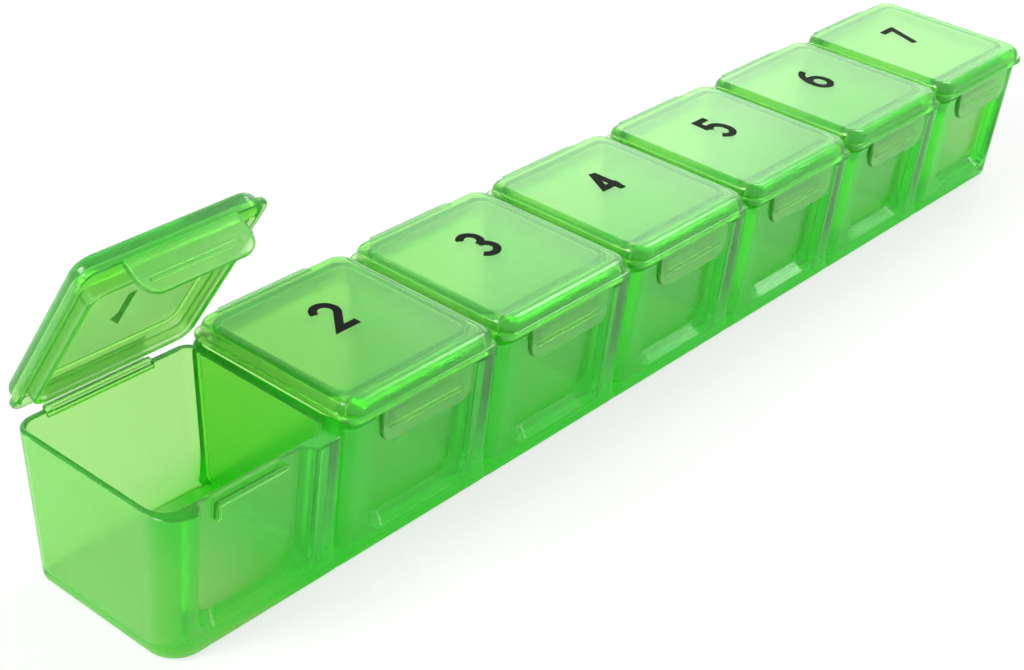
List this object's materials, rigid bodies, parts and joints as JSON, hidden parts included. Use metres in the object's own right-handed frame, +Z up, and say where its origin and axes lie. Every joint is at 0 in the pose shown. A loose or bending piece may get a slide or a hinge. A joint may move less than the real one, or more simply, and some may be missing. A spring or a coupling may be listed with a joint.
{
  "type": "weekly pill organizer",
  "caption": "Row of pill cups moulded as one tray, with a flat snap lid on a thin flexing hinge over each cup, a tab at each lid's front and the first lid open.",
  "frame": {"origin": "on the tray's flat underside, below the middle of its rim", "axes": "+X runs along the row from the open first cup to the last, -Y is the front with the snap tabs, +Y is the hinge side, +Z is up"},
  "size_m": [0.2058, 0.0322, 0.0515],
  "materials": {
    "tray_plastic": "translucent green moulded polypropylene, smooth",
    "lid_plastic": "translucent green moulded polypropylene, smooth",
    "black_ink": "printed black ink, satin"
  },
  "bodies": {
    "tray": {"tray": "tray_plastic", "hinge_web_1": "tray_plastic", "hinge_web_2": "tray_plastic", "hinge_web_3": "tray_plastic", "hinge_web_4": "tray_plastic", "hinge_web_5": "tray_plastic", "hinge_web_6": "tray_plastic", "hinge_web_7": "tray_plastic"},
    "lid_1": {"lid_1": "lid_plastic", "numeral_1": "black_ink"},
    "lid_2": {"lid_2": "lid_plastic", "numeral_2": "black_ink"},
    "lid_3": {"lid_3": "lid_plastic", "numeral_3": "black_ink"},
    "lid_4": {"lid_4": "lid_plastic", "numeral_4": "black_ink"},
    "lid_5": {"lid_5": "lid_plastic", "numeral_5": "black_ink"},
    "lid_6": {"lid_6": "lid_plastic", "numeral_6": "black_ink"},
    "lid_7": {"lid_7": "lid_plastic", "numeral_7": "black_ink"}
  },
  "joints": [
    {"name": "lid_1_hinge", "type": "hinge", "parent": "tray", "child": "lid_1", "pos_m": [-0.0885, 0.0164, 0.0243], "axis": [-1, 0, 0], "range_deg": [-58, 122]},
    {"name": "lid_2_hinge", "type": "hinge", "parent": "tray", "child": "lid_2", "pos_m": [-0.059, 0.0164, 0.0243], "axis": [-1, 0, 0], "range_deg": [0, 180]},
    {"name": "lid_3_hinge", "type": "hinge", "parent": "tray", "child": "lid_3", "pos_m": [-0.0295, 0.0164, 0.0243], "axis": [-1, 0, 0], "range_deg": [0, 180]},
    {"name": "lid_4_hinge", "type": "hinge", "parent": "tray", "child": "lid_4", "pos_m": [0, 0.0164, 0.0243], "axis": [-1, 0, 0], "range_deg": [0, 180]},
    {"name": "lid_5_hinge", "type": "hinge", "parent": "tray", "child": "lid_5", "pos_m": [0.0295, 0.0164, 0.0243], "axis": [-1, 0, 0], "range_deg": [0, 180]},
    {"name": "lid_6_hinge", "type": "hinge", "parent": "tray", "child": "lid_6", "pos_m": [0.059, 0.0164, 0.0243], "axis": [-1, 0, 0], "range_deg": [0, 180]},
    {"name": "lid_7_hinge", "type": "hinge", "parent": "tray", "child": "lid_7", "pos_m": [0.0885, 0.0164, 0.0243], "axis": [-1, 0, 0], "range_deg": [0, 180]}
  ]
}
